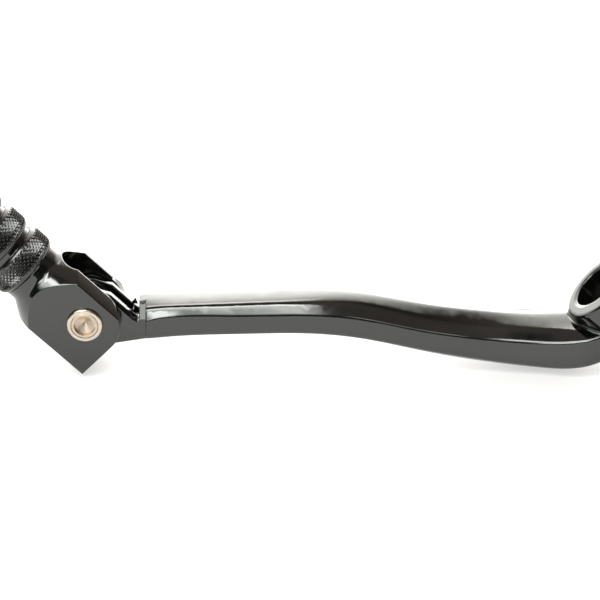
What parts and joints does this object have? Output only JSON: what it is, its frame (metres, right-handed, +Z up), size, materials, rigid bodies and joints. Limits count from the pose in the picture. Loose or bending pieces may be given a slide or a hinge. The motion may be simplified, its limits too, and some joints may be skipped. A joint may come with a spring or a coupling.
{
  "type": "gear shift lever",
  "caption": "Folding-tip gear shift lever with an S-curved forged arm, a splined clamp boss, a pinch bolt and a sprung knurled toe peg on a cross pin.",
  "frame": {"origin": "middle of the splined clamp bore", "axes": "+Z up as the lever lies on a bench, +X from the toe peg toward the boss, +Y along the fold pin, away from the pictured side; the bore and the toe peg both lean 45 degrees from +Z toward -X"},
  "size_m": [0.1695, 0.023, 0.0472],
  "materials": {
    "black_forging": "gloss black anodised",
    "black_bar": "gloss black anodised, knurled",
    "stainless": "turned",
    "stainless_collar": "polished",
    "bronze": "machined",
    "washer_steel": "satin",
    "spring_steel": "bright drawn",
    "bolt_steel": "zinc plated"
  },
  "bodies": {
    "lever": {"shift_arm": "black_forging", "pivot_bush": "bronze", "thrust_washers": "washer_steel", "tip_spring": "spring_steel", "pinch_bolt": "bolt_steel", "pinch_washer": "bolt_steel"},
    "toe": {"toe_peg": "black_bar", "pivot_pin": "stainless", "pivot_collars": "stainless_collar"}
  },
  "joints": [
    {"name": "toe_fold", "type": "hinge", "parent": "lever", "child": "toe", "pos_m": [-0.118, 0, -0.0012], "axis": [0, 1, 0], "range_deg": [0, 90], "stiffness_Nm_per_rad": 0.25, "springref_deg": -28.65, "deforming": ["tip_spring"]}
  ]
}
